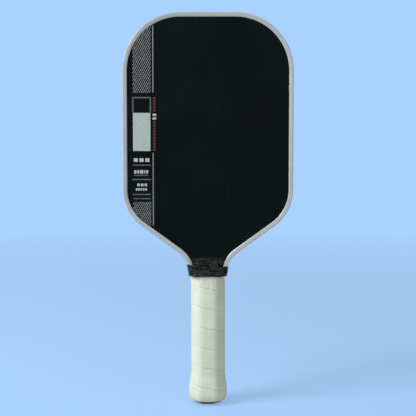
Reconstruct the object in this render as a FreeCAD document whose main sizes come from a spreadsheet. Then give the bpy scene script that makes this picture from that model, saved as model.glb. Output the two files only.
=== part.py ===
import FreeCAD, Part
import math
import os
import Sketcher

# Pickleball paddle, standing on its butt end: +Z runs up the handle to the head tip,
# the printed front face looks along -Y, and the origin is the middle of the butt end.
# Millimetres.

doc = FreeCAD.newDocument("pickleball_paddle")
sizes = doc.addObject("Spreadsheet::Sheet", "Sizes")

# Driving dimensions: name, value, what it is
DIMENSIONS = [
    ("overall_length", 419.0, "butt end to head tip, edge guard included"),
    ("head_width", 181.0, "across the head, edge guard included"),
    ("corner_radius", 61.5, "upper corners of the head, outside the guard"),
    ("shoulder_radius", 48.0, "where the sides turn into the lower flanks"),
    ("flank_angle", 36.0, "slope of the lower flanks above level, degrees"),
    ("throat_width", 40.2, "between the guard's outer walls at the throat"),
    ("throat_height", 156.9, "where a flank, run on straight, meets the throat"),
    ("throat_radius", 27.0, "hollow curve from flank to throat"),
    ("core_thickness", 16.0, "honeycomb slab"),
    ("skin_thickness", 0.6, "carbon face"),
    ("cell_pitch", 12.0, "honeycomb cell, middle to middle"),
    ("cell_wall", 0.8, "honeycomb cell wall"),
    ("cell_margin", 1.2, "solid rim left outside the outer cells"),
    ("foam_width", 7.0, "foam band inside the head's edge"),
    ("foam_rise", 11.1, "how far above the throat the foam band stops"),
    ("neck_drop", 15.5, "how far below the throat the slab narrows to the tongue"),
    ("neck_corner", 1.0, "rounding of that shoulder"),
    ("tongue_width", 20.0, "tongue of the slab inside the handle"),
    ("tongue_end", 32.0, "lower end of the tongue"),
    ("guard_wall", 1.4, "edge guard's outer wall"),
    ("guard_lip", 1.1, "thickness of the guard's lips"),
    ("guard_reach", 4.7, "how far a lip reaches in from the outer wall"),
    ("guard_bevel", 1.5, "width of the sloping inner rim of a lip"),
    ("guard_tip", 0.35, "height of a lip's inner rim above the face"),
    ("guard_round", 2.2, "rounding of the guard's outer corners"),
    ("guard_fit", 0.2, "clearance between the slab's rim and the guard's wall"),
    ("guard_drop", 11.3, "how far below the throat the guard stops, under the neck band"),
    ("grip_width", 36.8, "octagonal grip, side to side"),
    ("grip_depth", 28.4, "octagonal grip, front to back"),
    ("grip_facet", 17.8, "width of the grip's front facet"),
    ("tape_thickness", 1.8, "cushioned grip tape"),
    ("tape_fit", 0.35, "clearance between the tape and the handle"),
    ("tape_pitch", 21.5, "rise of the grip tape in one turn"),
    ("tape_seam", 0.55, "gap between neighbouring turns"),
    ("tape_bottom", 4.5, "lower end of the grip tape"),
    ("tape_drop", 16.0, "how far below the throat the grip tape ends, under the neck band"),
    ("seam_height", 16.5, "lowest seam at the right front corner"),
    ("tape_start_height", 0.7, "least height of the strip at its cut ends"),
    ("butt_flare", 2.15, "how far the butt swells past the grip"),
    ("flare_top", 32.5, "height where the swelling begins"),
    ("butt_round_height", 12.0, "height of the butt's rounded lower part"),
    ("butt_round_depth", 10.0, "how far that part draws in"),
    ("cap_top", 30.0, "upper rim of the butt cap"),
    ("cap_floor", 6.0, "thickness of the cap's closed end"),
    ("cap_wall", 1.6, "cap wall outside the handle shells"),
    ("cap_fit", 0.2, "clearance inside the cap"),
    ("shell_joint", 0.2, "gap between the two handle shells"),
    ("tongue_fit", 0.2, "clearance beside the tongue"),
    ("ramp_drop", 13.4, "how far below the throat a shell starts to slope down to the face"),
    ("ramp_rise", 2.0, "how far above the throat that slope reaches the face"),
    ("wrap_drop", 4.8, "how far below the throat the throat tape starts"),
    ("wrap_reach", 2.8, "how far above the throat the throat tape ends"),
    ("wrap_thickness", 0.5, "layers of throat tape"),
    ("wrap_fit", 0.05, "clearance under the throat tape"),
    ("wrap_rise", 0.3, "least height of the throat tape's middle over the face"),
    ("wrap_side_fit", 0.5, "clearance beside the guard's lips"),
    ("band_drop", 16.8, "how far below the throat the neck band starts"),
    ("band_height", 11.75, "neck band, lower edge to upper edge"),
    ("band_thickness", 0.5, "layers of the neck band"),
    ("band_low_fit", 0.75, "clearance between the neck band and the grip"),
    ("band_low_corner", 6.0, "bevel of the neck band's lower edge"),
    ("band_high_fit", 0.3, "clearance between the neck band and the guard's outer wall"),
    ("band_lip_fit", 1.2, "clearance between the neck band and the guard's lips"),
    ("band_high_corner", 2.4, "bevel of the neck band's upper edge"),
]

# Sizes that follow from those above: name, formula, what it is
CURVE_RUN = "throat_radius ^ 2 - (band_top - curve_start) ^ 2"
FOLLOWING = [
    ("foam_end", "throat_height + foam_rise", "height where the foam band stops"),
    ("neck_end", "throat_height - neck_drop", "shoulder between slab and tongue"),
    ("guard_end", "throat_height - guard_drop", "height where the guard stops"),
    ("tape_top", "throat_height - tape_drop", "upper end of the grip tape"),
    ("ramp_bottom", "throat_height - ramp_drop", "lower end of a shell's slope"),
    ("ramp_top", "throat_height + ramp_rise", "upper end of a shell's slope"),
    ("wrap_bottom", "throat_height - wrap_drop", "lower edge of the throat tape"),
    ("wrap_top", "throat_height + wrap_reach", "upper edge of the throat tape"),
    ("band_bottom", "throat_height - band_drop", "lower edge of the neck band"),
    ("band_top", "band_bottom + band_height", "upper edge of the neck band"),
    ("curve_start", "throat_height - throat_radius * tan((90 - flank_angle) / 2 * 1 deg)",
     "lower end of the throat's hollow curve"),
    ("neck_half", "max(grip_width / 2; throat_width / 2 - guard_wall - guard_fit)",
     "half the wider of the grip and the slab's neck"),
    ("band_high_width",
     f"throat_width + 2 * (throat_radius - sqrt({CURVE_RUN}) + band_high_fit)",
     "inside the neck band's upper edge, side to side"),
    ("band_high_depth", "core_thickness + 2 * (skin_thickness + guard_lip + band_lip_fit)",
     "inside the neck band's upper edge, front to back"),
]

for row, (alias, value, meaning) in enumerate(DIMENSIONS, start=1):
    sizes.set(f"A{row}", alias)
    sizes.set(f"B{row}", str(value))
    sizes.setAlias(f"B{row}", alias)
    sizes.set(f"C{row}", meaning)
for row, (alias, formula, meaning) in enumerate(FOLLOWING, start=len(DIMENSIONS) + 1):
    sizes.set(f"A{row}", alias)
    sizes.set(f"B{row}", f"={formula}")
    sizes.setAlias(f"B{row}", alias)
    sizes.set(f"C{row}", meaning)
    doc.recompute()
doc.recompute()


def size(alias):
    return float(sizes.get(alias))


def value_of(formula):
    return float(sizes.evalExpression(formula))


# Formulas shared by several pieces
SLAB_INSET = "(Sizes.guard_wall + Sizes.guard_fit)"
HALF_CORE = "Sizes.core_thickness / 2"
FACE = "(Sizes.core_thickness / 2 + Sizes.skin_thickness)"
SHELL_OFFSET = "(0 - Sizes.tape_thickness - Sizes.tape_fit)"
PLUG_OFFSET = "(0 - Sizes.tape_thickness - Sizes.tape_fit - Sizes.cap_wall - Sizes.cap_fit)"
EIGHTH = 22.5
HALF_ANGLE = f"tan({EIGHTH} * 1 deg)"
FRONT, BACK = -1, 1


def in_body(label):
    body = doc.addObject("PartDesign::Body", label)
    body.Label = label
    return body


def origin_plane(body, role):
    return [plane for plane in body.Origin.OriginFeatures if plane.Role == role][0]


def draw_corners(name, role, corners, body=None, level="0", mirror="upright", closed=True):
    """A straight-sided outline with rounded corners, mirrored about one sketch axis.

    corners holds (across, along, radius or None) as formulas, for one side only.
    """
    if body is None:
        sketch = doc.addObject("Sketcher::SketchObject", name)
        tilt = 90 if role == "XZ_Plane" else 0
        sketch.Placement = FreeCAD.Placement(
            FreeCAD.Vector(), FreeCAD.Rotation(FreeCAD.Vector(1, 0, 0), tilt)
        )
    else:
        sketch = body.newObject("Sketcher::SketchObject", name)
        sketch.AttachmentSupport = [(origin_plane(body, role), "")]
        sketch.MapMode = "FlatFace"
        sketch.setExpression("AttachmentOffset.Base.z", level)
    points = [(value_of(across), value_of(along)) for across, along, _ in corners]
    if mirror == "upright":
        others = [(-across, along) for across, along in reversed(points)]
        axis = -2
    else:
        others = [(across, -along) for across, along in reversed(points)]
        axis = -1
    loop = points + others
    count = len(loop)
    lines = count if closed else count - 1
    for index in range(lines):
        start = FreeCAD.Vector(*loop[index], 0)
        end = FreeCAD.Vector(*loop[(index + 1) % count], 0)
        sketch.addGeometry(Part.LineSegment(start, end), False)
    rules = [
        Sketcher.Constraint("Coincident", index, 2, (index + 1) % count, 1)
        for index in range(lines if closed else lines - 1)
    ]
    formulas = {}
    for index, (across, along, _) in enumerate(corners):
        for kind, formula, number in (
            ("DistanceX", across, points[index][0]),
            ("DistanceY", along, points[index][1]),
        ):
            formulas[len(rules)] = formula
            rules.append(Sketcher.Constraint(kind, -1, 1, index, 1, number))
        twin = count - 1 - index
        place = (twin, 1) if twin < lines else (twin - 1, 2)
        rules.append(Sketcher.Constraint("Symmetric", index, 1, *place, axis))
    sketch.addConstraint(rules)
    for index, formula in formulas.items():
        sketch.setExpression(f"Constraints[{index}]", formula)
    for index, (_, _, radius) in enumerate(corners):
        if radius is None:
            continue
        for corner in (index, count - 1 - index):
            round_corner(sketch, loop, corner, radius)
    return sketch


def round_corner(sketch, loop, corner, radius):
    count = len(loop)
    here = FreeCAD.Vector(*loop[corner], 0)
    before = FreeCAD.Vector(*loop[corner - 1], 0)
    after = FreeCAD.Vector(*loop[(corner + 1) % count], 0)
    nearby = 0.1
    near_before = here + (before - here) * nearby
    near_after = here + (after - here) * nearby
    sketch.fillet((corner - 1) % count, corner, near_before, near_after, value_of(radius), True, True)
    arcs = [i for i, item in enumerate(sketch.Geometry) if isinstance(item, Part.ArcOfCircle)]
    rule = sketch.addConstraint(Sketcher.Constraint("Radius", arcs[-1], value_of(radius)))
    sketch.setExpression(f"Constraints[{rule}]", radius)


def pad(body, sketch, length, midplane=False):
    feature = body.newObject("PartDesign::Pad", f"{sketch.Name}_pad")
    feature.Profile = sketch
    feature.setExpression("Length", length)
    feature.Midplane = midplane
    sketch.Visibility = False
    return feature


def pocket(body, sketch, length, midplane=False, reverse=False):
    doc.recompute()
    before = body.Shape.Volume
    feature = body.newObject("PartDesign::Pocket", f"{sketch.Name}_cut")
    feature.Profile = sketch
    feature.setExpression("Length", length)
    feature.Midplane = midplane
    feature.Reversed = reverse
    doc.recompute()
    if body.Shape.Volume >= before:
        raise RuntimeError(f"{feature.Name} cuts nothing")
    return feature


def from_shape(label, shape):
    node = doc.addObject("Part::Feature", label)
    node.Shape = shape
    node.Placement = FreeCAD.Placement()
    node.Label = label
    return node


# The head's outline, drawn in from the guard's outer wall by an inset


def head_corners(inset):
    side = f"(Sizes.head_width / 2 - {inset})"
    throat = f"(Sizes.throat_width / 2 - {inset})"

    def flank(across):
        return (
            f"Sizes.throat_height + {inset} / cos(Sizes.flank_angle * 1 deg)"
            f" + ({across} - Sizes.throat_width / 2) * tan(Sizes.flank_angle * 1 deg)"
        )

    return [
        (side, f"Sizes.overall_length - {inset}", f"Sizes.corner_radius - {inset}"),
        (side, flank(side), f"Sizes.shoulder_radius - {inset}"),
        (throat, flank(throat), f"Sizes.throat_radius + {inset}"),
    ]


def slab_corners():
    throat = f"(Sizes.throat_width / 2 - {SLAB_INSET})"
    tongue = "Sizes.tongue_width / 2"
    return head_corners(SLAB_INSET) + [
        (throat, "Sizes.neck_end", "Sizes.neck_corner"),
        (tongue, "Sizes.neck_end", None),
        (tongue, "Sizes.tongue_end", None),
    ]


# Carbon faces


def make_face(label, side):
    body = in_body(label)
    level = HALF_CORE if side == FRONT else f"0 - {FACE}"
    outline = draw_corners(f"{label}_outline", "XZ_Plane", slab_corners(), body, level)
    pad(body, outline, "Sizes.skin_thickness")
    return body


# Honeycomb core and the foam band round it


def make_core(label):
    foam_inner = f"({SLAB_INSET} + Sizes.foam_width)"
    throat = f"(Sizes.throat_width / 2 - {foam_inner})"
    inner = head_corners(foam_inner) + [(throat, "Sizes.neck_end", None)]
    inner_sketch = draw_corners("core_outline", "XZ_Plane", inner)
    slab_sketch = draw_corners("core_neck_outline", "XZ_Plane", slab_corners())
    doc.recompute()
    reach = size("overall_length")
    foam_room = Part.makeBox(
        reach, reach, reach, FreeCAD.Vector(-reach / 2, -reach / 2, size("foam_end"))
    )
    slab = Part.Face(slab_sketch.Shape.Wires[0])
    foam = slab.common(foam_room).cut(Part.Face(inner_sketch.Shape.Wires[0]))
    outline = slab.cut(foam).Faces[0]
    rim = outline.OuterWire
    cells = honeycomb_cells(outline, rim)
    pierced = Part.makeFace([rim] + cells, "Part::FaceMakerBullseye")
    half = size("core_thickness") / 2
    pierced.translate(FreeCAD.Vector(0, -half, 0))
    print(f"honeycomb cells {len(cells)}")
    return from_shape(label, pierced.extrude(FreeCAD.Vector(0, 2 * half, 0)))


def honeycomb_cells(face, rim):
    pitch = size("cell_pitch")
    corner = (pitch - size("cell_wall")) / math.sqrt(3)
    row_rise = pitch * math.sqrt(3) / 2
    clear = corner + size("cell_margin")
    rows = int(size("overall_length") / row_rise) + 1
    columns = int(size("head_width") / pitch / 2) + 1
    cells = []
    for row in range(rows):
        shift = pitch / 2 if row % 2 else 0.0
        for column in range(-columns, columns + 1):
            middle = FreeCAD.Vector(column * pitch + shift, 0, row * row_rise)
            if not face.isInside(middle, 0.01, True):
                continue
            if rim.distToShape(Part.Vertex(middle))[0] < clear:
                continue
            turns = [math.radians(30 + 60 * step) for step in range(7)]
            points = [
                middle + FreeCAD.Vector(corner * math.cos(turn), 0, corner * math.sin(turn))
                for turn in turns
            ]
            cells.append(Part.makePolygon(points))
    return cells


def make_foam(label):
    body = in_body(label)
    throat = f"(Sizes.throat_width / 2 - {SLAB_INSET})"
    outer = head_corners(SLAB_INSET) + [(throat, "Sizes.neck_end", None)]
    pad(body, draw_corners("foam_outer", "XZ_Plane", outer, body), "Sizes.core_thickness", True)
    foam_inner = f"({SLAB_INSET} + Sizes.foam_width)"
    narrow = f"(Sizes.throat_width / 2 - {foam_inner})"
    inner = head_corners(foam_inner) + [(narrow, "Sizes.neck_end", None)]
    pocket(body, draw_corners("foam_inner", "XZ_Plane", inner, body), "Sizes.core_thickness", True)
    wide = "Sizes.head_width / 2"
    below = [(wide, "Sizes.foam_end", None), (wide, "0", None)]
    pocket(body, draw_corners("foam_ends", "XZ_Plane", below, body), "Sizes.core_thickness", True)
    return body


# Edge guard: a channel with two lips, swept round the head from throat to throat


def make_guard(label):
    half_throat = "Sizes.throat_width / 2"
    foot = (half_throat, "Sizes.neck_end", None)
    corners = [*head_corners("0"), foot]
    path = draw_corners("guard_path", "XZ_Plane", corners[::-1], closed=False)
    lip_edge = f"({half_throat} - Sizes.guard_reach)"
    outside = f"({FACE} + Sizes.guard_lip)"
    channel = [
        (f"{half_throat} - Sizes.guard_wall", FACE, None),
        (lip_edge, FACE, None),
        (lip_edge, f"{FACE} + Sizes.guard_tip", None),
        (f"{lip_edge} + Sizes.guard_bevel", outside, None),
        (half_throat, outside, "Sizes.guard_round"),
    ]
    profile = draw_corners("guard_profile", "XY_Plane", channel, mirror="level")
    doc.recompute()
    section = Part.Face(profile.Shape.Wires[0])
    section.translate(FreeCAD.Vector(0, 0, size("neck_end")))
    swept = path.Shape.Wires[0].makePipe(section)
    reach = size("overall_length")
    below = Part.makeBox(
        reach, reach, size("guard_end"), FreeCAD.Vector(-reach / 2, -reach / 2, 0)
    )
    return from_shape(label, swept.cut(below))


# Octagon of the grip, moved in or out by an offset


def octagon_formulas(offset):
    half_width = f"(Sizes.grip_width / 2 + {offset})"
    half_depth = f"(Sizes.grip_depth / 2 + {offset})"
    facet = f"(Sizes.grip_facet / 2 + {offset} * {HALF_ANGLE})"
    side = (
        f"((Sizes.grip_depth - Sizes.grip_width + Sizes.grip_facet) / 2"
        f" + {offset} * {HALF_ANGLE})"
    )
    return half_width, half_depth, facet, side


def octagon_corners(offset, height):
    """The eight corners at a height, clockwise from above, from the front right one."""
    half_width = size("grip_width") / 2 + offset
    half_depth = size("grip_depth") / 2 + offset
    shrink = offset * math.tan(math.radians(EIGHTH))
    facet = size("grip_facet") / 2 + shrink
    side = (size("grip_depth") - size("grip_width") + size("grip_facet")) / 2 + shrink
    return [
        FreeCAD.Vector(facet, -half_depth, height),
        FreeCAD.Vector(-facet, -half_depth, height),
        FreeCAD.Vector(-half_width, -side, height),
        FreeCAD.Vector(-half_width, side, height),
        FreeCAD.Vector(-facet, half_depth, height),
        FreeCAD.Vector(facet, half_depth, height),
        FreeCAD.Vector(half_width, side, height),
        FreeCAD.Vector(half_width, -side, height),
    ]


def butt_offset(height):
    """How far the grip's outside stands out from the straight octagon at a height."""
    flare = size("butt_flare")
    top = size("flare_top")
    round_height = size("butt_round_height")
    if height >= top:
        return 0.0
    if height >= round_height:
        share = (top - height) / (top - round_height)
        return flare * math.sin(math.pi / 2 * share)
    drop = (round_height - height) / round_height
    return flare - size("butt_round_depth") * (1 - math.sqrt(1 - drop * drop))


# Handle shells: two halves glued on the tongue, with ramps running out over the faces


def make_shell(label, side):
    body = in_body(label)
    sign = f"{side} * "
    joint = f"{sign}Sizes.shell_joint / 2"

    width, depth, facet, bevel = octagon_formulas(PLUG_OFFSET)
    plug = [
        (facet, sign + depth, None),
        (width, sign + bevel, None),
        (width, joint, None),
    ]
    plug_bottom = "Sizes.cap_floor + Sizes.cap_fit"
    plug_sketch = draw_corners(f"{label}_plug", "XY_Plane", plug, body, plug_bottom)
    pad(body, plug_sketch, f"Sizes.cap_top + Sizes.cap_fit - ({plug_bottom})")

    width, depth, facet, bevel = octagon_formulas(SHELL_OFFSET)
    outline = [
        (facet, sign + depth, None),
        (width, sign + bevel, None),
        (width, joint, None),
    ]
    shell_bottom = "Sizes.cap_top + Sizes.cap_fit"
    shell_sketch = draw_corners(f"{label}_shell", "XY_Plane", outline, body, shell_bottom)
    pad(body, shell_sketch, f"Sizes.ramp_top - ({shell_bottom})")

    tongue = "Sizes.tongue_width / 2 + Sizes.tongue_fit"
    channel = [(tongue, sign + FACE, None), (tongue, f"0 - {joint}", None)]
    channel_bottom = "Sizes.tongue_end - Sizes.tongue_fit"
    channel_sketch = draw_corners(f"{label}_channel", "XY_Plane", channel, body, channel_bottom)
    pocket(body, channel_sketch, f"Sizes.ramp_top - ({channel_bottom})", reverse=True)

    wide = "Sizes.grip_width"
    slab = [(wide, sign + FACE, None), (wide, f"0 - {joint}", None)]
    slab_bottom = "Sizes.neck_end - Sizes.tongue_fit"
    slab_sketch = draw_corners(f"{label}_slab_room", "XY_Plane", slab, body, slab_bottom)
    pocket(body, slab_sketch, f"Sizes.ramp_top - ({slab_bottom})", reverse=True)

    cut_ramp(body, label, sign, depth)
    return body


def cut_ramp(body, label, sign, depth):
    """Slope from the shell's outside down to the face, cut across the whole width."""
    sketch = body.newObject("Sketcher::SketchObject", f"{label}_ramp")
    sketch.AttachmentSupport = [(origin_plane(body, "YZ_Plane"), "")]
    sketch.MapMode = "FlatFace"
    outline = [
        (f"{sign}{depth}", "Sizes.ramp_bottom"),
        (f"{sign}{FACE}", "Sizes.ramp_top"),
        (f"{sign}{depth}", "Sizes.ramp_top"),
    ]
    points = [FreeCAD.Vector(value_of(out), value_of(up), 0) for out, up in outline]
    for index in range(3):
        sketch.addGeometry(Part.LineSegment(points[index], points[(index + 1) % 3]), False)
    rules = [Sketcher.Constraint("Coincident", index, 2, (index + 1) % 3, 1) for index in range(3)]
    for index, point in enumerate(points):
        rules.append(Sketcher.Constraint("DistanceX", -1, 1, index, 1, point.x))
        rules.append(Sketcher.Constraint("DistanceY", -1, 1, index, 1, point.y))
    sketch.addConstraint(rules)
    for index, (out, up) in enumerate(outline):
        sketch.setExpression(f"Constraints[{3 + 2 * index}]", out)
        sketch.setExpression(f"Constraints[{4 + 2 * index}]", up)
    pocket(body, sketch, "Sizes.grip_width", midplane=True)


# Butt cap: a flared octagonal cup with a rounded closed end


CAP_ROUND_STEPS = 7  # cross-sections in the rounded part
CAP_FLARE_STEPS = 5  # and in the swelling above it


def make_cap(label):
    round_height = size("butt_round_height")
    cap_top = size("cap_top")
    levels = [
        round_height * (1 - math.sin(math.pi / 2 * (1 - step / CAP_ROUND_STEPS)))
        for step in range(CAP_ROUND_STEPS)
    ]
    levels += [
        round_height + (cap_top - round_height) * step / CAP_FLARE_STEPS
        for step in range(CAP_FLARE_STEPS + 1)
    ]
    inset = size("tape_thickness") + size("tape_fit")
    rings = [octagon_ring(butt_offset(level) - inset, level) for level in levels]
    outside = Part.makeLoft(rings, True, True)
    room = octagon_ring(-inset - size("cap_wall"), size("cap_floor"))
    inside = Part.Face(room).extrude(FreeCAD.Vector(0, 0, cap_top - size("cap_floor")))
    return from_shape(label, outside.cut(inside))


def octagon_ring(offset, height):
    corners = octagon_corners(offset, height)
    return Part.makePolygon(corners + corners[:1])


# Grip tape: one unbroken strip wound up the octagon, clockwise seen from above


CORNERS = 8
SEAM_CORNER = 7  # the right front corner
STRIP_SHARES = (0.0, 0.12, 0.26, 0.45, 0.7, 1.0)  # points up the strip, close near the butt


def make_tape(label):
    pitch, seam = size("tape_pitch"), size("tape_seam")
    bottom, top = size("tape_bottom"), size("tape_top")
    least = size("tape_start_height")
    shares = corner_shares()
    rings, lower_edge, upper_edge = [], [], []
    station = SEAM_CORNER - CORNERS * (1 + math.ceil(size("seam_height") / pitch))
    while True:
        turn, corner = divmod(station, CORNERS)
        turns_up = turn + shares[corner] - shares[SEAM_CORNER]
        low = size("seam_height") - pitch + pitch * turns_up
        high = low + pitch - seam
        low, high = max(low, bottom), min(high, top)
        if high - low < least and rings:
            break
        if high - low >= least:
            rings.append(strip_section(corner, low, high))
            lower_edge.append(outer_corner(corner, low))
            upper_edge.append(outer_corner(corner, high))
        station += 1
    report_gap(lower_edge, upper_edge)
    return from_shape(label, Part.makeLoft(rings, True, True))


def corner_shares():
    """Each corner's distance round the octagon as a share of one turn."""
    corners = octagon_corners(0.0, 0.0)
    steps = [corners[i].distanceToPoint(corners[(i + 1) % CORNERS]) for i in range(CORNERS)]
    return [sum(steps[:i]) / sum(steps) for i in range(CORNERS)]


def strip_section(corner, low, high):
    """The strip's cut face in the plane of one corner, with close points near the butt."""
    heights = [low + (high - low) * share for share in STRIP_SHARES]
    inner = size("tape_thickness")
    points = [octagon_corners(butt_offset(z) - inner, z)[corner] for z in heights]
    points += [octagon_corners(butt_offset(z), z)[corner] for z in reversed(heights)]
    return Part.makePolygon(points + points[:1])


def outer_corner(corner, height):
    return octagon_corners(butt_offset(height), height)[corner]


def report_gap(lower_edge, upper_edge):
    least = None
    for index, point in enumerate(upper_edge):
        following = index + CORNERS
        if following + 1 >= len(lower_edge) or point.z >= size("tape_top"):
            continue
        for first in (following - 1, following):
            span = Part.LineSegment(lower_edge[first], lower_edge[first + 1]).toShape()
            gap = span.distToShape(Part.Vertex(point))[0]
            least = gap if least is None else min(least, gap)
    turns = len(upper_edge) / CORNERS
    print(f"grip tape: {turns:.1f} turns, least gap to itself {least:.2f} mm")


# Throat tape: a patch on each face, over the shell's ramp and between the guard's lips


def make_throat_wrap(label):
    patches = [throat_patch(side) for side in (FRONT, BACK)]
    return from_shape(label, Part.makeCompound(patches))


def throat_patch(side):
    rings = [patch_section(size(name), side) for name in ("wrap_bottom", "wrap_top")]
    return Part.makeLoft(rings, True, True)


def patch_section(height, side):
    face = size("core_thickness") / 2 + size("skin_thickness")
    inset = size("tape_thickness") + size("tape_fit")
    shell_out = size("grip_depth") / 2 - inset
    run = (size("ramp_top") - height) / (size("ramp_top") - size("ramp_bottom"))
    crest = face + max((shell_out - face) * run, size("wrap_rise"))
    bevel_sum = (size("grip_depth") + size("grip_facet")) / 2 - inset * math.sqrt(2)
    fit, layer = size("wrap_fit"), size("wrap_thickness")
    edge = lip_edge_at(height) - size("wrap_side_fit")
    under = [
        (edge, face + fit),
        (bevel_sum - face + 2 * fit, face + fit),
        (bevel_sum - crest + 2 * fit, crest + fit),
    ]
    half = under + [(x, y + layer) for x, y in reversed(under)]
    right = [FreeCAD.Vector(x, side * y, height) for x, y in half]
    left = [FreeCAD.Vector(-x, side * y, height) for x, y in half]
    points = [*right[:3], *reversed(left[:3]), *reversed(left[3:]), *right[3:]]
    return Part.makePolygon(points + points[:1])


def lip_edge_at(height):
    """Half the width between the guard's lips in the throat's hollow curve."""
    middle = size("throat_width") / 2 + size("throat_radius")
    radius = size("throat_radius") + size("guard_reach")
    return middle - math.sqrt(radius**2 - (height - size("curve_start")) ** 2)


# Neck band: tape wound round the guard's ends, the ramps and the top of the grip


def make_neck_band(label):
    body = in_body(label)
    low = (
        "Sizes.neck_half + Sizes.band_low_fit",
        "Sizes.grip_depth / 2 + Sizes.band_low_fit",
        "Sizes.band_low_corner",
    )
    high = (
        "Sizes.band_high_width / 2",
        "Sizes.band_high_depth / 2",
        "Sizes.band_high_corner",
    )
    layer = "Sizes.band_thickness"
    outer = band_loft(body, "band_outer", "PartDesign::AdditiveLoft", low, high, layer)
    doc.recompute()
    before = outer.Shape.Volume
    inner = band_loft(body, "band_inner", "PartDesign::SubtractiveLoft", low, high, "0")
    doc.recompute()
    if inner.Shape.Volume >= before:
        raise RuntimeError("the neck band has no inside")
    return body


def band_loft(body, name, kind, low, high, layer):
    sections = []
    for (half_width, half_depth, leg), level in ((low, "band_bottom"), (high, "band_top")):
        grown = f"({leg} + {layer} * (2 - sqrt(2)))"
        width = f"({half_width} + {layer})"
        depth = f"({half_depth} + {layer})"
        corners = [
            (f"{width} - {grown}", depth, None),
            (width, f"{depth} - {grown}", None),
            (width, f"{grown} - {depth}", None),
            (f"{width} - {grown}", f"0 - {depth}", None),
        ]
        sections.append(
            draw_corners(f"{name}_{level}", "XY_Plane", corners, body, f"Sizes.{level}")
        )
    loft = body.newObject(kind, name)
    loft.Profile = sections[0]
    loft.Sections = [sections[1]]
    loft.Ruled = True
    return loft


nodes = [
    make_core("honeycomb_core"),
    make_foam("edge_foam"),
    make_face("front_face", FRONT),
    make_face("back_face", BACK),
    make_guard("edge_guard"),
    make_shell("front_handle_shell", FRONT),
    make_shell("back_handle_shell", BACK),
    make_cap("butt_cap"),
    make_tape("grip_tape"),
    make_throat_wrap("throat_wrap"),
    make_neck_band("neck_band"),
]
doc.recompute()

# Every object has to be sound before anything is written
for item in doc.Objects:
    if "Invalid" in item.State or "Error" in item.State:
        raise RuntimeError(f"{item.Label} failed: {item.State}")
for node in nodes:
    if node.Shape.isNull() or not node.Shape.isValid():
        raise RuntimeError(f"{node.Label} has no valid shape")
    for solid in node.Shape.Solids:
        if solid.Volume <= 0:
            raise RuntimeError(f"{node.Label} is inside out")

os.makedirs("parts", exist_ok=True)
for node in nodes:
    node.Shape.exportStep(f"parts/{node.Label}.step")
    box = node.Shape.BoundBox
    print(f"{node.Label}: {len(node.Shape.Solids)} solids, {node.Shape.Volume:.0f} mm3,"
          f" z {box.ZMin:.2f} to {box.ZMax:.2f}, x {box.XMax:.2f}, y {box.YMax:.2f}")
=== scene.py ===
import math
import bmesh
import bpy
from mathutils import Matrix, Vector, noise


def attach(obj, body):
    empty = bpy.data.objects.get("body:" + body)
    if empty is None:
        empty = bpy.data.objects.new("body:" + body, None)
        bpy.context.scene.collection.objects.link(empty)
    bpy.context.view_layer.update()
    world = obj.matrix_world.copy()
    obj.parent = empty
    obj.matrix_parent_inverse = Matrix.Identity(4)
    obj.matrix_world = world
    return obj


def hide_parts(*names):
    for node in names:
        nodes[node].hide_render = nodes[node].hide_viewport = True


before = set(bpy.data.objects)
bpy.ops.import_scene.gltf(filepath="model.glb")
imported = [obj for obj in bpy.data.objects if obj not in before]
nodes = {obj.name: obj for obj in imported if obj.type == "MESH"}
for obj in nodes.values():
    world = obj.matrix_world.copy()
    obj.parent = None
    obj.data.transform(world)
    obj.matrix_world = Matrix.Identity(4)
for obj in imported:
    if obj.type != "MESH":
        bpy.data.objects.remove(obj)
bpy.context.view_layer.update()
mm = 0.001
print("scene: frame loaded,", len(nodes), "nodes")


# Small tools for meshes and materials

def linear(hexColour):  # sRGB hex to the linear values that the shaders take
    parts = [int(hexColour[i:i + 2], 16) / 255 for i in (0, 2, 4)]
    return [c / 12.92 if c < 0.04045 else ((c + 0.055) / 1.055) ** 2.4 for c in parts] + [1.0]


def addNode(tree, kind, settings=None, values=None, links=None):
    node = tree.nodes.new(kind)
    for name, value in (settings or {}).items():
        setattr(node, name, value)
    for name, value in (values or {}).items():
        node.inputs[name].default_value = value
    for name, source in (links or {}).items():
        tree.links.new(source, node.inputs[name])
    return node


def startMaterial(name, shaderValues):  # a material, its shader and the object's own coordinates
    material = bpy.data.materials.new(name)
    material.use_nodes = True
    tree = material.node_tree
    shader = tree.nodes["Principled BSDF"]
    for socket, value in shaderValues.items():
        shader.inputs[socket].default_value = value
    coords = addNode(tree, "ShaderNodeTexCoord").outputs["Object"]
    return material, tree, shader, coords


def scaled(tree, coords, scale):  # coordinates stretched for one pattern
    return addNode(tree, "ShaderNodeMapping", values={"Scale": scale},
                   links={"Vector": coords}).outputs["Vector"]


def mottle(tree, vector, size, detail=3.0):  # noise whose patches are about size metres wide
    return addNode(tree, "ShaderNodeTexNoise", values={"Scale": 1 / size, "Detail": detail},
                   links={"Vector": vector}).outputs["Fac"]


def spread(tree, factor, low, high, start=0.3, end=0.7):  # a factor turned to a range of numbers
    return addNode(tree, "ShaderNodeMapRange", values={"From Min": start, "From Max": end,
                   "To Min": low, "To Max": high}, links={"Value": factor}).outputs["Result"]


def tint(tree, factor, dark, light, start=0.3, end=0.7):  # a factor turned to a range of colours
    ramp = addNode(tree, "ShaderNodeValToRGB", links={"Fac": factor})
    for stop, place, colour in zip(ramp.color_ramp.elements, (start, end), (dark, light)):
        stop.position = place
        stop.color = linear(colour)
    return ramp.outputs["Color"]


def relief(tree, shader, layers):  # bumps laid over each other: height, depth in metres, strength
    normal = None
    for height, depth, strength in layers:
        links = {"Height": height}
        if normal:
            links["Normal"] = normal
        normal = addNode(tree, "ShaderNodeBump", values={"Distance": depth, "Strength": strength},
                         links=links).outputs["Normal"]
    tree.links.new(normal, shader.inputs["Normal"])


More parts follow.
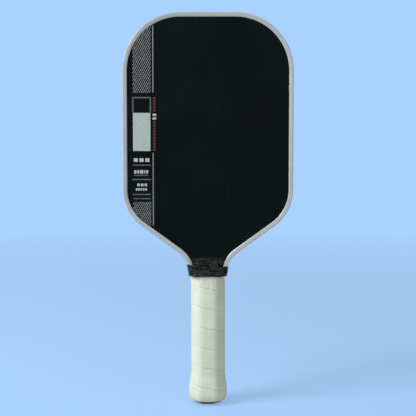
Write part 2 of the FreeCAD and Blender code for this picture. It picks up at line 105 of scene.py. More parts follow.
def clearSelection():
    if bpy.context.object and bpy.context.object.mode != "OBJECT":
        bpy.ops.object.mode_set(mode="OBJECT")
    bpy.ops.object.select_all(action="DESELECT")


def makeFlat(piece):  # put a piece's place into its mesh
    clearSelection()
    piece.select_set(True)
    bpy.context.view_layer.objects.active = piece
    bpy.ops.object.transform_apply(location=True, rotation=True, scale=True)


def applyModifier(piece, kind, name, **settings):
    clearSelection()
    piece.select_set(True)
    bpy.context.view_layer.objects.active = piece
    modifier = piece.modifiers.new(name, kind)
    for key, value in settings.items():
        setattr(modifier, key, value)
    bpy.ops.object.modifier_apply(modifier=modifier.name)


def smoothFaces(piece, degrees):
    clearSelection()
    piece.select_set(True)
    bpy.context.view_layer.objects.active = piece
    bpy.ops.object.shade_smooth_by_angle(angle=math.radians(degrees))


def closeUp(piece, capped=False):  # merge doubled points, cap open ends if asked, turn faces outwards
    bpy.context.view_layer.objects.active = piece
    bpy.ops.object.mode_set(mode="EDIT")
    bpy.ops.mesh.select_all(action="SELECT")
    bpy.ops.mesh.remove_doubles(threshold=1e-6)
    if capped:
        bpy.ops.mesh.fill_holes(sides=0)
        bpy.ops.mesh.select_all(action="SELECT")
    bpy.ops.mesh.normals_make_consistent(inside=False)
    bpy.ops.object.mode_set(mode="OBJECT")


def faceAway(piece):  # an open sleeve round the Z axis: its faces look away from the axis
    away = sum(face.normal.dot(Vector((face.center.x, face.center.y, 0))) for face in piece.data.polygons)
    if away < 0:
        piece.data.flip_normals()


def ease(value):
    value = min(max(value, 0.0), 1.0)
    return value * value * (3 - 2 * value)


def between(low, high, share):
    return low + (high - low) * share


def shapedGrid(name, columns, rows, place):  # a grid whose points go where place(u, v) says; u, v run 0 to 1
    clearSelection()
    bpy.ops.mesh.primitive_grid_add(x_subdivisions=columns, y_subdivisions=rows, size=1, calc_uvs=True)
    piece = bpy.context.object
    piece.name = piece.data.name = name
    shape = [(point.co.x + 0.5, point.co.y + 0.5) for point in piece.data.vertices]
    across = piece.data.uv_layers.active
    for loop in piece.data.loops:
        across.data[loop.index].uv = shape[loop.vertex_index]
    for point, (u, v) in zip(piece.data.vertices, shape):
        point.co = Vector(place(u, v)) * mm
    return piece


# Materials

def peelPlyCarbon():
    # Carbon fibre in epoxy, pressed under peel ply: a dull black with the ply's fine cloth print.
    # The ply's threads lie 0.5 mm apart; they are drawn 1.2 mm apart, to show at all.
    values = {"Roughness": 0.6, "IOR": 1.5, "Specular IOR Level": 0.06}
    material, tree, shader, coords = startMaterial("peelPlyCarbon", values)
    threads = 1 / (1.2 * mm) / 10
    bands = [addNode(tree, "ShaderNodeTexWave", {"bands_direction": way},
                     {"Scale": threads * math.pi, "Distortion": 0.6, "Detail": 1.0, "Detail Scale": 2.0},
                     {"Vector": coords}).outputs["Fac"] for way in ("X", "Z")]
    cloth = addNode(tree, "ShaderNodeMath", {"operation": "MAXIMUM"},
                    links={0: bands[0], 1: bands[1]}).outputs[0]
    tows = mottle(tree, scaled(tree, coords, (1, 1, 0.08)), 3.5 * mm)
    cloud = mottle(tree, coords, 70 * mm, 4.0)
    grit = mottle(tree, coords, 0.9 * mm, 2.0)
    colour = tint(tree, cloud, "050D0E", "0B1617", 0.35, 0.65)
    mixed = addNode(tree, "ShaderNodeMix", {"data_type": "RGBA", "blend_type": "MULTIPLY"}, {0: 0.35},
                    {6: colour, 7: tint(tree, tows, "9A9A9A", "FFFFFF")}).outputs[2]
    tree.links.new(mixed, shader.inputs["Base Color"])
    tree.links.new(spread(tree, cloud, 0.5, 0.68), shader.inputs["Roughness"])
    relief(tree, shader, [(cloth, 0.06 * mm, 0.35), (grit, 0.05 * mm, 0.3)])
    return material


def extrudedGuardPlastic():
    # Soft PVC, extruded as a channel and bent round the head: satin light grey, a little scuffed and uneven.
    values = {"Roughness": 0.28, "IOR": 1.53}
    material, tree, shader, coords = startMaterial("extrudedGuardPlastic", values)
    cloud = mottle(tree, coords, 25 * mm, 4.0)
    scuffs = mottle(tree, coords, 2.2 * mm, 6.0)
    tree.links.new(tint(tree, cloud, "ABB1B4", "B9BFC2", 0.3, 0.7), shader.inputs["Base Color"])
    tree.links.new(spread(tree, scuffs, 0.24, 0.38), shader.inputs["Roughness"])
    relief(tree, shader, [(scuffs, 0.05 * mm, 0.25), (cloud, 0.4 * mm, 0.2)])
    return material


def cushionedGripTape():
    # Polyurethane skin on felt, wound by hand: near-white with a cast of green, soft sheen, fine creases.
    # Its pores are 0.3 mm across; they are drawn 0.7 mm across, to show at all.
    values = {"Roughness": 0.5, "IOR": 1.5, "Sheen Weight": 0.08, "Sheen Roughness": 0.5}
    material, tree, shader, coords = startMaterial("cushionedGripTape", values)
    cloud = mottle(tree, coords, 18 * mm, 4.0)
    creases = mottle(tree, scaled(tree, coords, (0.35, 0.35, 1.0)), 2.6 * mm, 5.0)
    pores = addNode(tree, "ShaderNodeTexVoronoi", values={"Scale": 1 / (1.7 * mm)},
                    links={"Vector": coords}).outputs["Distance"]
    pits = spread(tree, pores, 0.0, 1.0, 0.1, 0.28)
    across = addNode(tree, "ShaderNodeSeparateXYZ", links={
        0: addNode(tree, "ShaderNodeTexCoord").outputs["UV"]}).outputs["Y"]
    # The strip's lower edge is drawn darker: painted shade along each seam; the strip's own v is 0 there
    seamShade = spread(tree, across, 0.0, 1.0, 0.0, 0.08)
    base = tint(tree, cloud, "D0DACD", "DDE6DA", 0.3, 0.7)
    seamShadedColour = addNode(tree, "ShaderNodeMix", {"data_type": "RGBA"},
                     links={0: seamShade, 6: tint(tree, cloud, "BAC2B5", "C7CFC2"), 7: base}).outputs[2]
    tree.links.new(seamShadedColour, shader.inputs["Base Color"])
    tree.links.new(spread(tree, creases, 0.42, 0.6), shader.inputs["Roughness"])
    relief(tree, shader, [(creases, 0.35 * mm, 0.35), (pits, 0.08 * mm, 0.3)])
    return material


def stretchedVinylTape():
    # PVC electrical tape, pulled tight by hand: glossy black, crinkled along its length, dull in its folds.
    values = {"Roughness": 0.28, "IOR": 1.53, "Specular IOR Level": 0.2}
    material, tree, shader, coords = startMaterial("stretchedVinylTape", values)
    folds = mottle(tree, scaled(tree, coords, (0.22, 0.22, 1.0)), 1.9 * mm, 3.0)
    fine = mottle(tree, scaled(tree, coords, (0.5, 0.5, 1.0)), 0.9 * mm, 3.0)
    # The colour goes near black in the folds: painted shade in the creases
    tree.links.new(tint(tree, folds, "010202", "262B2B", 0.45, 0.56), shader.inputs["Base Color"])
    tree.links.new(spread(tree, folds, 0.5, 0.24), shader.inputs["Roughness"])
    relief(tree, shader, [(folds, 2.2 * mm, 1.0), (fine, 0.2 * mm, 0.3)])
    return material


def mouldedCapPlastic():
    # ABS, injection moulded in a spark-eroded tool: dark grey with an even fine grain.
    values = {"Roughness": 0.5, "IOR": 1.53}
    material, tree, shader, coords = startMaterial("mouldedCapPlastic", values)
    grain = mottle(tree, coords, 0.8 * mm, 2.0)
    cloud = mottle(tree, coords, 12 * mm)
    tree.links.new(tint(tree, cloud, "343A39", "434A48"), shader.inputs["Base Color"])
    tree.links.new(spread(tree, grain, 0.42, 0.58), shader.inputs["Roughness"])
    relief(tree, shader, [(grain, 0.08 * mm, 0.4)])
    return material


def corePolymer():
    # Polypropylene film, extruded and welded to cells: milky, slightly waxy, with draw lines on the walls.
    values = {"Roughness": 0.42, "IOR": 1.49, "Subsurface Weight": 0.1}
    material, tree, shader, coords = startMaterial("corePolymer", values)
    draw = mottle(tree, scaled(tree, coords, (1, 0.1, 1)), 1.5 * mm)
    tree.links.new(tint(tree, draw, "DADACF", "ECECE4"), shader.inputs["Base Color"])
    relief(tree, shader, [(draw, 0.05 * mm, 0.3)])
    return material


def castFoam(name, dark, light, cell):
    # Polyurethane foam, cast in place: dull, with small round cells of the size that is given.
    material, tree, shader, coords = startMaterial(name, {"Roughness": 0.85, "IOR": 1.5})
    cells = addNode(tree, "ShaderNodeTexVoronoi", values={"Scale": 1 / cell}, links={"Vector": coords})
    open_ = spread(tree, cells.outputs["Distance"], 0.0, 1.0, 0.1, 0.5)
    # Darker towards each cell's middle, where the bump sinks: painted shade in the cells' hollows
    tree.links.new(tint(tree, open_, dark, light, 0.0, 1.0), shader.inputs["Base Color"])
    relief(tree, shader, [(open_, 0.3 * mm, 0.5)])
    return material


def screenInk(name, thin, full, rough=0.55):
    # Screen-printed epoxy ink on the cloth-printed face: flat colour that thins out over the ply's pits.
    material, tree, shader, coords = startMaterial(name, {"Roughness": rough, "IOR": 1.5})
    pits = mottle(tree, coords, 0.9 * mm, 3.0)
    tree.links.new(tint(tree, pits, thin, full, 0.36, 0.5), shader.inputs["Base Color"])
    tree.links.new(spread(tree, pits, rough + 0.1, rough - 0.05), shader.inputs["Roughness"])
    relief(tree, shader, [(pits, 0.04 * mm, 0.3)])
    return material


carbon = peelPlyCarbon()
gripSkin = cushionedGripTape()
vinyl = stretchedVinylTape()
shellFoam = castFoam("castHandleFoam", "26282A", "3A3C3E", 1.4 * mm)
finishes = {
    "front_face": carbon, "back_face": carbon, "edge_guard": extrudedGuardPlastic(),
    "honeycomb_core": corePolymer(), "edge_foam": castFoam("castEdgeFoam", "B8AA80", "D2C69E", 1.1 * mm),
    "front_handle_shell": shellFoam, "back_handle_shell": shellFoam, "butt_cap": mouldedCapPlastic(),
    "grip_tape": gripSkin, "throat_wrap": vinyl, "neck_band": vinyl,
}
for name, finish in finishes.items():
    node = nodes[name]
    if node.material_slots:
        for index in range(len(node.material_slots)):
            node.material_slots[index].material = finish
    else:
        node.data.materials.append(finish)
print("scene: materials on the frame's nodes")


# Grip: one cushioned strip, wound up the octagon with each turn lapped over the one below

grip = {
    # The straight octagon outside, and how far its flats are blended at the corners (higher is sharper)
    "halfWidth": 18.55, "halfDepth": 14.2, "halfFacet": 8.9, "halfSide": 4.7, "softness": 12,
    # The butt's flare and its rounded bottom edge
    "flare": 2.15, "flareTop": 32.5, "roundHeight": 12.0, "roundDepth": 10.0,
    # The strip's way: a seam's height on the first turn, and the turns where the strip is cut off
    "pitch": 21.5, "seamHeight": 16.5, "bottom": 4.5, "top": 140.9, "firstTurn": -0.526, "lastTurn": 6.753,
    # Its lap over the turn below: how far, how high it lifts, and how the turn below dips under it
    "lap": 1.5, "tuck": 1.3, "lift": 0.22, "liftWidth": 4.5, "dip": 0.2, "dipStart": 2.0, "dipWidth": 2.4,
    "edgeRound": 0.6, "edgeDrop": 0.55, "thickness": 1.2, "columns": 660, "rows": 22,
    # Puckers under the neck tape, and the strip's slow unevenness
    "squeezeFrom": 114, "squeezeOver": 24, "pucker": 0.55, "squeeze": 0.15, "uneven": 0.12,
}
# Creases pressed into the butt's front: start x and z, end x and z, depth, width
buttCreases = [
    (-17, 25.5, -3, 16.2, 0.4, 1.0), (-18, 20.5, -5, 12.0, 0.35, 1.1), (-9, 24, 4, 18.5, 0.2, 0.9),
    (-8, 15.5, 8, 13.2, 0.22, 0.8), (-9, 8.2, 9, 8.0, 0.22, 0.7), (9, 22, 17, 24, 0.2, 0.9),
]


def buttOffset(z):  # how far the outside stands out from the straight octagon
    if z >= grip["flareTop"]:
        return 0.0
    if z >= grip["roundHeight"]:
        share = (grip["flareTop"] - z) / (grip["flareTop"] - grip["roundHeight"])
        return grip["flare"] * math.sin(math.pi / 2 * share)
    drop = (grip["roundHeight"] - z) / grip["roundHeight"]
    return grip["flare"] - grip["roundDepth"] * (1 - math.sqrt(1 - drop * drop))


w, d, f, s = (grip[key] for key in ("halfWidth", "halfDepth", "halfFacet", "halfSide"))
octagon = [(f, -d), (-f, -d), (-w, -s), (-w, s), (-f, d), (f, d), (w, s), (w, -s)]
sideLengths = [math.dist(octagon[i], octagon[(i + 1) % 8]) for i in range(8)]
girth = sum(sideLengths)
lastCorner = sum(sideLengths[:7]) / girth  # share of a turn at the right front corner, where seams start
slantReach = (w + s) / math.sqrt(2)
flats = [(math.radians(45 * i), (w, slantReach, d, slantReach)[i % 4]) for i in range(8)]


def angleRound(share):  # direction from the middle to the point that lies at a share of a turn
    run = (share % 1.0) * girth
    for i in range(8):
        if run <= sideLengths[i] or i == 7:
            part = run / sideLengths[i]
            a, b = octagon[i], octagon[(i + 1) % 8]
            return math.atan2(a[1] + (b[1] - a[1]) * part, a[0] + (b[0] - a[0]) * part)
        run -= sideLengths[i]


def softOctagon(angle, offset):  # radius of the octagon with its corners padded round
    total = 0.0
    for facing, reach in flats:
        toward = math.cos(angle - facing)
        if toward > 0:
            total += (toward / (reach + offset)) ** grip["softness"]
    return total ** (-1 / grip["softness"])


def creaseDepth(x, y, z):
    depth = 0.0
    if y < 0:
        for x0, z0, x1, z1, deep, wide in buttCreases:
            along = Vector((x1 - x0, z1 - z0))
            share = Vector((x - x0, z - z0)).dot(along) / along.length_squared
            if 0 < share < 1:
                off = (Vector((x - x0, z - z0)) - along * share).length
                depth += deep * math.sin(math.pi * share) * math.exp(-(off / wide) ** 2)
    return depth


def ringNoise(angle, lumps, height):  # noise that closes round the axis; more lumps, finer noise
    return noise.noise(Vector((math.cos(angle) * lumps, math.sin(angle) * lumps, height)))


def gripPoint(u, v):
    turn = between(grip["firstTurn"], grip["lastTurn"], u)
    angle = angleRound(turn + lastCorner)
    low = grip["seamHeight"] + grip["pitch"] * (turn - 1) - grip["lap"]
    high = low + grip["pitch"] + grip["lap"] + grip["tuck"]
    start = max(low, grip["bottom"])
    part = 0.5 - 0.5 * math.cos(math.pi * v)  # rows closer together at both edges
    z = between(start, min(high, grip["top"]), part)
    out = grip["lift"] * math.exp(-(z - low) / grip["liftWidth"])
    covered = grip["tuck"] + grip["lap"] + grip["dipStart"]
    out -= grip["dip"] * ease((covered - (high - z)) / grip["dipWidth"])
    out -= grip["edgeDrop"] * grip["edgeRound"] * (1 - min(1.0, (z - start) / grip["edgeRound"])) ** 2
    squeeze = ease((z - grip["squeezeFrom"]) / grip["squeezeOver"])
    out += squeeze * (grip["pucker"] * ringNoise(angle, 5.2, z * 0.10) - grip["squeeze"])
    out += grip["uneven"] * ringNoise(angle, 2.1, z * 0.06 + 9)
    radius = softOctagon(angle, buttOffset(z) + out)
    x, y = radius * math.cos(angle), radius * math.sin(angle)
    dent = creaseDepth(x, y, z)
    return x * (1 - dent / radius), y * (1 - dent / radius), z


gripWinding = shapedGrid("gripWinding", grip["columns"], grip["rows"], gripPoint)
closeUp(gripWinding)
faceAway(gripWinding)
applyModifier(gripWinding, "SOLIDIFY", "thickness", thickness=grip["thickness"] * mm, offset=-1)
smoothFaces(gripWinding, 50)
gripWinding.data.materials.append(gripSkin)
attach(gripWinding, "root")
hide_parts("grip_tape")
print("scene: grip wound,", len(gripWinding.data.polygons), "faces")


# Neck: vinyl tape wound round the guard's ends and the top of the grip

neck = {
    "bottom": 139.9, "top": 151.8, "softness": 34,
    # Half width, half depth and cut-off corners at the lower and the upper edge
    "lowWidth": 19.35, "lowDepth": 14.8, "lowCorner": 6.3,
    "highWidth": 21.75, "highDepth": 11.4, "highCorner": 2.7,
    # The upper edge lies askew: moved to the left, lower towards the right, lower all over, and wavy
    "shift": -0.4, "tilt": 0.035, "rightTilt": 1.3, "sink": 0.4, "wave": 0.35,
    "thickness": 0.4, "crumple": 0.95, "rimDrop": 0.45, "rimWidth": 0.7, "columns": 260, "rows": 44,
    # Two laps of tape: how high they stand; height of each edge, its swing and where it swings
    "ledge": 0.2, "ledgeWidth": 0.5, "laps": ((143.6, 1.4, 0.6), (147.8, 1.7, 2.9)),
}


def crumple(x, y, z, seed):  # creases that run mostly along the tape, long ones and shorter ones
    longFolds = 1 - abs(2 * noise.noise(Vector((x * 0.11, y * 0.11 + seed, z * 0.45 + x * 0.03))))
    shortFolds = 1 - abs(2 * noise.noise(Vector((x * 0.2 + 7, y * 0.2, z * 0.8 + seed))))
    return 0.7 * longFolds + 0.3 * shortFolds


def neckPoint(u, v):
    angle = 2 * math.pi * u
    z = between(neck["bottom"], neck["top"], v)
    width = between(neck["lowWidth"], neck["highWidth"], v)
    depth = between(neck["lowDepth"], neck["highDepth"], v)
    corner = between(neck["lowCorner"], neck["highCorner"], v)
    slant = (width + depth - corner) / math.sqrt(2)
    total = 0.0
    for i, reach in enumerate((width, slant, depth, slant) * 2):
        toward = math.cos(angle - math.radians(45 * i))
        if toward > 0:
            total += (toward / reach) ** neck["softness"]
    radius = total ** (-1 / neck["softness"])
    x, y = radius * math.cos(angle), radius * math.sin(angle)
    out = neck["crumple"] * crumple(x, y, z, 3.0)
    for edge, swing, phase in neck["laps"]:
        out += neck["ledge"] * ease((edge + swing * math.sin(angle + phase) - z) / neck["ledgeWidth"] + 0.5)
    rim = min(v, 1 - v) * (neck["top"] - neck["bottom"])
    out -= neck["rimDrop"] * (1 - min(1.0, rim / neck["rimWidth"])) ** 2
    grown = 1 + out / radius
    lean = neck["tilt"] * v * (-x if x < 0 else -neck["rightTilt"] * x) - neck["sink"] * v
    wave = neck["wave"] * ringNoise(angle, 2.5, 4.0) * (2 * v - 1)
    return x * grown + neck["shift"] * v, y * grown, z + lean + wave


neckTape = shapedGrid("neckTape", neck["columns"], neck["rows"], neckPoint)
closeUp(neckTape)
faceAway(neckTape)
applyModifier(neckTape, "SOLIDIFY", "thickness", thickness=neck["thickness"] * mm, offset=-1)
smoothFaces(neckTape, 60)
neckTape.data.materials.append(vinyl)
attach(neckTape, "root")
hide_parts("neck_band")


# Edge guard: one channel bent round the head, its lips thinner towards their inner rims

guard = {
    # The channel's section: side wall, lips and their rounded outer corners
    "wall": 1.4, "reach": 4.7, "face": 8.6, "lip": 1.1, "corner": 0.9, "wallJoin": 3.0,
    # The lips' inner rims: upright height, bevel's width, and height where the bevel ends
    "rim": 0.08, "bevel": 0.8, "bevelHeight": 0.64,
    # The head's outline, right half: hollow throat curve, straight flank, shoulder, side, corner, top
    "end": 145.7, "throatX": 47.1, "throatZ": 143.14, "throatRadius": 27.0, "flank": 36.0,
    "shoulderZ": 232.49, "shoulderRadius": 48.0, "width": 90.5, "cornerRadius": 61.5, "top": 419.0,
    # Fineness, and how unevenly the lips lie
    "throatSteps": 24, "shoulderSteps": 44, "cornerSteps": 70, "straightSteps": 20, "topSteps": 10,
    "lipSteps": 4, "roundSteps": 5, "wave": 0.05, "waveFrom": 0.1, "waveOver": 0.3,
}


def guardSection():  # points (way in from the outer wall, depth): front lip, outside, back lip, inside
    g = guard
    high = g["face"] + g["lip"]
    bevelEnd = (g["reach"] - g["bevel"], g["face"] + g["bevelHeight"])
    front = [(g["reach"], g["face"]), (g["reach"], g["face"] + g["rim"]), bevelEnd]
    for i in range(1, g["lipSteps"]):
        share = i / g["lipSteps"]
        front.append((between(bevelEnd[0], g["corner"], share), between(bevelEnd[1], high, share)))
    for i in range(g["roundSteps"] + 1):
        turn = math.pi / 2 * i / g["roundSteps"]
        front.append((g["corner"] * (1 - math.sin(turn)), high - g["corner"] * (1 - math.cos(turn))))
    front.append((0.0, g["wallJoin"]))
    back = [(inward, -depth) for inward, depth in reversed(front)]
    return front + back + [(g["wall"], -g["face"]), (g["wall"], g["face"]), front[0]]


def arcPoints(middle, radius, start, end, steps, hollow=1):  # points of an arc with the way out of the head
    points = []
    for i in range(steps + 1):
        turn = math.radians(between(start, end, i / steps))
        out = (hollow * math.cos(turn), hollow * math.sin(turn))
        points.append((middle[0] + hollow * radius * out[0], middle[1] + hollow * radius * out[1], *out))
    return points


def straightRun(start, end, steps):  # the points between two ends, without the ends
    return [tuple(between(a, b, j / steps) for a, b in zip(start, end)) for j in range(1, steps)]


def guardPath():  # the outer wall from the left throat end to the right one: x, z and the way out
    g = guard
    low = math.degrees(math.asin((g["end"] - g["throatZ"]) / g["throatRadius"]))
    throatCurve = arcPoints((g["throatX"], g["throatZ"]), g["throatRadius"], 180 - low, 90 + g["flank"],
                            g["throatSteps"], hollow=-1)
    shoulder = arcPoints((g["width"] - g["shoulderRadius"], g["shoulderZ"]), g["shoulderRadius"],
                         g["flank"] - 90, 0, g["shoulderSteps"])
    corner = arcPoints((g["width"] - g["cornerRadius"], g["top"] - g["cornerRadius"]), g["cornerRadius"],
                       0, 90, g["cornerSteps"])
    crown = (0.0, corner[-1][1], 0.0, 1.0)
    half = throatCurve + straightRun(throatCurve[-1], shoulder[0], g["straightSteps"]) + shoulder
    half += straightRun(shoulder[-1], corner[0], g["straightSteps"]) + corner
    half += straightRun(corner[-1], crown, g["topSteps"]) + [crown]
    return [(-x, z, -outX, outZ) for x, z, outX, outZ in half] + half[-2::-1]


section, path = guardSection(), guardPath()


def guardPoint(u, v):
    x, z, outX, outZ = path[round(u * (len(path) - 1))]
    inward, depth = section[round(v * (len(section) - 1))]
    side = 1 if depth > 0 else -1
    wave = guard["wave"] * (noise.noise(Vector((x * 0.05, z * 0.05, 2.0))) * side - 1)
    onLip = ease((abs(depth) - guard["face"] - guard["waveFrom"]) / guard["waveOver"])
    return x - outX * inward, -(depth + wave * onLip * side), z - outZ * inward


guardChannel = shapedGrid("guardChannel", len(path) - 1, len(section) - 1, guardPoint)
closeUp(guardChannel, capped=True)
smoothFaces(guardChannel, 24)
guardChannel.data.materials.append(finishes["edge_guard"])
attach(guardChannel, "root")
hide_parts("edge_guard")
print("scene: guard bent,", len(guardChannel.data.polygons), "faces")


# Throat: a patch of the same tape on each face, over the handle's ramp and between the guard's lips

throat = {
    "bottom": 151.7, "top": 159.8, "face": 8.6, "seat": 0.08, "layer": 0.5, "crumple": 0.6,
    # The ramp: how far it stands out at its foot, its heights, and where its sides fall away
    "ramp": 3.45, "rampBottom": 143.5, "rampTop": 158.9,
    "bevelSum": 20.06, "bevelSlack": 0.4, "steepness": 0.9,
    # The guard's lip in the hollow curve, and the gap beside it
    "guardMiddle": 47.1, "guardRadius": 31.7, "curveStart": 143.14, "sideGap": 0.4,
    "edgeWidth": 0.7, "sideLift": 0.15, "wave": 0.5, "sink": 0.2, "columns": 110, "rows": 36,
}


def throatPoint(side, u, v):
    z = between(throat["bottom"], throat["top"], v)
    reach = throat["guardRadius"] ** 2 - (z - throat["curveStart"]) ** 2
    half = throat["guardMiddle"] - math.sqrt(reach) - throat["sideGap"]
    x = half * (2 * u - 1)
    run = max(0.0, (throat["rampTop"] - z) / (throat["rampTop"] - throat["rampBottom"]))
    crest = throat["ramp"] * run
    inside = throat["bevelSum"] - throat["face"] + throat["bevelSlack"] - abs(x)
    rise = ease(inside / max(crest, throat["bevelSlack"]) * throat["steepness"])
    edge = min(1.0, (throat["top"] - z) / throat["edgeWidth"])
    edge *= min(1.0, (half - abs(x)) / throat["edgeWidth"] + throat["sideLift"])
    y = throat["face"] + throat["seat"] + crest * rise
    y += edge * (throat["layer"] + throat["crumple"] * crumple(x, side * 5.0, z, 11.0))
    wave = throat["wave"] * noise.noise(Vector((x * 0.16, side * 3.0, 1.0)))
    return x, side * y, z + (wave - throat["sink"]) * ease((v - 0.5) * 2)


for side, name in ((-1, "throatTapeFront"), (1, "throatTapeBack")):
    throatTape = shapedGrid(name, throat["columns"], throat["rows"], lambda u, v: throatPoint(side, u, v))
    if sum(face.normal.y for face in throatTape.data.polygons) * side < 0:
        throatTape.data.flip_normals()
    smoothFaces(throatTape, 60)
    throatTape.data.materials.append(vinyl)
    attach(throatTape, "root")
    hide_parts("throat_wrap")
print("scene: neck and throat taped")


# Printed strip on the front face: plain hatching, rules, a panel and dashes, as thin films of ink

strip = {"face": -8.6, "film": 0.06, "left": -80.2, "right": -60.5}
inks = {
    "hatch": screenInk("hatchScreenInk", "8A9294", "B6BEC0"),
    "grey": screenInk("greyScreenInk", "696F72", "8A9093"),
    "dim": screenInk("dimScreenInk", "45484A", "5C6060"),
    "pale": screenInk("paleScreenInk", "9AABA9", "ADBEBB"),
    "white": screenInk("whiteScreenInk", "8F9494", "BDC2C2"),
    "red": screenInk("redScreenInk", "3A1117", "641F29"),
}
hatch = {
    "pitchAcross": 2.19, "pitchDown": 4.1, "strokeWide": 0.5, "strokeTall": 1.75, "lean": 0.9,
    # The upper field ends at an arc inside the head's corner, the lower one at an arc inside its shoulder
    "topFrom": 334.7, "topTo": 405.0, "cornerX": -29.0, "cornerZ": 357.5, "cornerRadius": 56.5,
    "bottomFrom": 191.9, "bottomTo": 219.4, "shoulderX": -42.5, "shoulderZ": 232.5, "shoulderRadius": 42.4,
    "leastArea": 1e-11,  # square metres; strokes cut down to less are left out
}


def addFilm(left, bottom, right, top):  # one bar of ink on the face; the sides in mm
    bpy.ops.mesh.primitive_cube_add(
        size=1, scale=((right - left) * mm, strip["film"] * mm, (top - bottom) * mm),
        location=((left + right) / 2 * mm, (strip["face"] - strip["film"] / 2) * mm, (bottom + top) / 2 * mm))


def inkFilm(name, ink, bars):  # one piece of ink from bars of left, bottom, right and top
    clearSelection()
    addFilm(*bars[0])
    piece = bpy.context.object
    makeFlat(piece)
    bpy.ops.object.mode_set(mode="EDIT")
    for bar in bars[1:]:
        addFilm(*bar)
    bpy.ops.object.mode_set(mode="OBJECT")
    piece.name = piece.data.name = name
    piece.data.materials.append(ink)
    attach(piece, "root")
    return piece


def hatchField(name, bottom, top, limitTop, limitBottom):
    # One leaning stroke, arrayed across and down; every other row is set over by half a pitch
    h = hatch
    clearSelection()
    middle = strip["left"] + h["pitchAcross"] / 2
    addFilm(middle - h["strokeWide"] / 2, bottom, middle + h["strokeWide"] / 2, bottom + h["strokeTall"])
    piece = bpy.context.object
    makeFlat(piece)
    for point in piece.data.vertices:
        point.co.x += h["lean"] * (point.co.z - (bottom + h["strokeTall"] / 2) * mm) / h["strokeTall"]
    across, down = h["pitchAcross"] * mm, h["pitchDown"] * mm
    repeats = [(round((strip["right"] - strip["left"]) / h["pitchAcross"]), (across, 0, 0)),
               (2, (across / 2, 0, down / 2)), (int((top - bottom) / h["pitchDown"]) + 1, (0, 0, down))]
    for count, offset in repeats:
        applyModifier(piece, "ARRAY", "repeat", count=count, use_relative_offset=False,
                      use_constant_offset=True, constant_offset_displace=offset)
    mesh = bmesh.new()
    mesh.from_mesh(piece.data)
    for point in mesh.verts:
        x, z = point.co.x / mm, point.co.z / mm
        point.co.z = min(max(z, limitBottom(x)), limitTop(x)) * mm
        point.co.x = min(max(x, strip["left"]), strip["right"]) * mm
    mesh.normal_update()
    flat = [face for face in mesh.faces if face.calc_area() < h["leastArea"]]
    bmesh.ops.delete(mesh, geom=flat, context="FACES")
    loose = [point for point in mesh.verts if not point.link_faces]
    bmesh.ops.delete(mesh, geom=loose, context="VERTS")
    mesh.to_mesh(piece.data)
    mesh.free()
    piece.name = piece.data.name = name
    piece.data.materials.append(inks["hatch"])
    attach(piece, "root")


def cornerArc(x):
    return hatch["cornerZ"] + math.sqrt(hatch["cornerRadius"] ** 2 - (x - hatch["cornerX"]) ** 2)


def shoulderArc(x):
    return hatch["shoulderZ"] - math.sqrt(hatch["shoulderRadius"] ** 2 - (x - hatch["shoulderX"]) ** 2)


hatchField("upperHatch", hatch["topFrom"], hatch["topTo"], cornerArc, lambda x: hatch["topFrom"])
hatchField("lowerHatch", hatch["bottomFrom"], hatch["bottomTo"], lambda x: hatch["bottomTo"], shoulderArc)


def rowOfBars(left, right, bottom, top, widths, gap):  # plain bars that fill a line
    unit = (right - left - gap * (len(widths) - 1)) / sum(widths)
    bars, x = [], left
    for width in widths:
        bars.append((x, bottom, x + width * unit, top))
        x += width * unit + gap
    return bars


def openBox(left, bottom, right, top, line):  # two sides and a top, which stand on the panel below
    return [(left, top - line, right, top), (left, bottom, left + line, top - line),
            (right - line, bottom, right, top - line)]


inkFilm("longRules", inks["grey"], [(-58.75, 335.0, -57.7, 405.0), (-58.75, 194.0, -57.7, 271.5)])
inkFilm("emptyBox", inks["dim"], openBox(-80.2, 313.9, -60.3, 330.4, 1.4))
inkFilm("palePanel", inks["pale"], [(-79.5, 273.4, -61.0, 313.6)])
inkFilm("whiteBars", inks["white"],
        rowOfBars(-78.8, -62.2, 261.9, 265.7, (1, 1, 1), 1.8)
        + rowOfBars(-78.4, -63.6, 249.6, 253.1, (2, 2, 3, 1, 2), 0.9)
        + rowOfBars(-75.2, -64.8, 236.1, 238.9, (1, 1, 1), 1.2)
        + rowOfBars(-76.7, -65.0, 231.4, 233.9, (1, 1, 1, 1, 1), 0.7)
        + [(-58.6, 306.6, -54.8, 309.0), (-58.6, 310.3, -54.8, 312.7)])
inkFilm("dimRules", inks["dim"],
        [(-79.7, 257.9, -60.6, 259.0), (-78.4, 247.1, -63.6, 248.2), (-80.2, 242.6, -60.6, 243.9),
         (-80.0, 226.7, -61.0, 228.0), (-79.3, 222.3, -72.6, 223.4), (-71.7, 222.3, -61.3, 223.4)])
inkFilm("redDashes", inks["red"],
        [(-58.2, 315.0 + 3.2 * i, -55.6, 317.3 + 3.2 * i) for i in range(5)]
        + [(-58.2, 273.6 + 3.2 * i, -55.6, 275.9 + 3.2 * i) for i in range(10)])
print("scene: strip printed")


# Floor, light and camera

studio = {
    "background": "A9D2FE", "board": "B9B9B6", "ambient": "FFFFFF", "ambientStrength": 0.375,
    "floorNear": 0.35, "floorFar": 2.2, "floorGlow": 0.6,
}


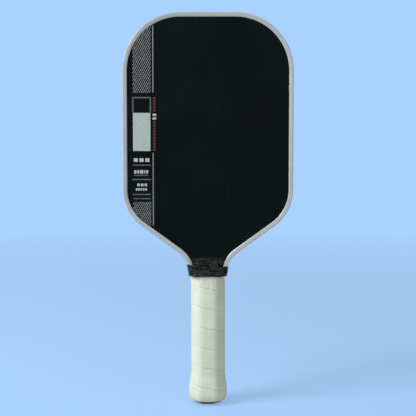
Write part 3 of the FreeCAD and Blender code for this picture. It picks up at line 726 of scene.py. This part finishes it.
def paleBoard():
    # Matt painted board. The camera sees it in the backdrop's blue, with the object's shadow on it;
    # the light that it throws back is a neutral grey. It fades to the backdrop far out.
    material, tree, shader, coords = startMaterial("paleBoard", {"Roughness": 0.9})
    speckle = mottle(tree, coords, 4 * mm, 4.0)
    seen = addNode(tree, "ShaderNodeLightPath").outputs["Is Camera Ray"]
    painted = addNode(tree, "ShaderNodeMix", {"data_type": "RGBA"},
                      {6: linear(studio["board"]), 7: linear(studio["background"])}, {0: seen}).outputs[2]
    tinted = addNode(tree, "ShaderNodeMix", {"data_type": "RGBA", "blend_type": "MULTIPLY"}, {0: 0.1},
                     {6: painted, 7: tint(tree, speckle, "E0E0E0", "FFFFFF")}).outputs[2]
    tree.links.new(tinted, shader.inputs["Base Color"])
    glow = addNode(tree, "ShaderNodeEmission", values={"Color": linear(studio["background"])}).outputs[0]
    share = addNode(tree, "ShaderNodeMath", {"operation": "MULTIPLY"},
                    {1: studio["floorGlow"]}, {0: seen}).outputs[0]
    lit = addNode(tree, "ShaderNodeMixShader", links={0: share, 1: shader.outputs[0], 2: glow}).outputs[0]
    distance = addNode(tree, "ShaderNodeVectorMath", {"operation": "LENGTH"},
                       links={0: coords}).outputs["Value"]
    fade = spread(tree, distance, 0.0, 1.0, studio["floorNear"], studio["floorFar"])
    clear = addNode(tree, "ShaderNodeBsdfTransparent").outputs[0]
    mix = addNode(tree, "ShaderNodeMixShader", links={0: fade, 1: lit, 2: clear}).outputs[0]
    tree.links.new(mix, tree.nodes["Material Output"].inputs["Surface"])
    return material


clearSelection()
bpy.ops.mesh.primitive_circle_add(vertices=96, radius=3.0, fill_type="NGON", location=(0, 0, 0))
floor = bpy.context.object
floor.name = "floor"
floor.data.materials.append(paleBoard())

world = bpy.data.worlds.new("studio")
bpy.context.scene.world = world
world.use_nodes = True
tree = world.node_tree
tree.nodes.clear()
seen = addNode(tree, "ShaderNodeLightPath").outputs["Is Camera Ray"]
ambient = addNode(tree, "ShaderNodeBackground", values={"Color": linear(studio["ambient"]),
                  "Strength": studio["ambientStrength"]}).outputs[0]
shown = addNode(tree, "ShaderNodeBackground", values={"Color": linear(studio["background"])}).outputs[0]
mixed = addNode(tree, "ShaderNodeMixShader", links={0: seen, 1: ambient, 2: shown}).outputs[0]
addNode(tree, "ShaderNodeOutputWorld", links={"Surface": mixed})

# Lamps: from the middle of the paddle, degrees left of the front, degrees up, metres off, watts, size
middle = Vector((0, 0, 0.21))
lamps = {"keyLight": (64, 34, 1.8, 32.0, 0.8), "fillLight": (-20, 20, 2.2, 5.3, 1.2)}
for name, (left, up, away, watts, size) in lamps.items():
    left, up = math.radians(left), math.radians(up)
    toward = Vector((-math.sin(left) * math.cos(up), -math.cos(left) * math.cos(up), math.sin(up)))
    data = bpy.data.lights.new(name, "AREA")
    data.energy = watts
    data.size = size
    lamp = bpy.data.objects.new(name, data)
    lamp.location = middle + toward * away
    lamp.rotation_euler = toward.to_track_quat("Z", "Y").to_euler()
    bpy.context.scene.collection.objects.link(lamp)

# The camera looks slightly down on the front; distances in mm, tilt in degrees
view = {"away": 780.0, "tilt": 3.0, "aimHeight": 212.92, "frontPlane": -9.7, "focal": 63.46, "sensor": 36.0,
        "farthest": 20}
tilt = math.radians(view["tilt"])
camera = bpy.data.objects.new("camera", bpy.data.cameras.new("camera"))
camera.data.lens = view["focal"]
camera.data.sensor_width = view["sensor"]
camera.data.clip_end = view["farthest"]
camera.location = Vector((0, view["frontPlane"] - view["away"] * math.cos(tilt),
                          view["aimHeight"] + view["away"] * math.sin(tilt))) * mm
camera.rotation_euler = (math.pi / 2 - tilt, 0, 0)
bpy.context.scene.collection.objects.link(camera)
bpy.context.scene.camera = camera
bpy.context.scene.view_settings.view_transform = "Standard"
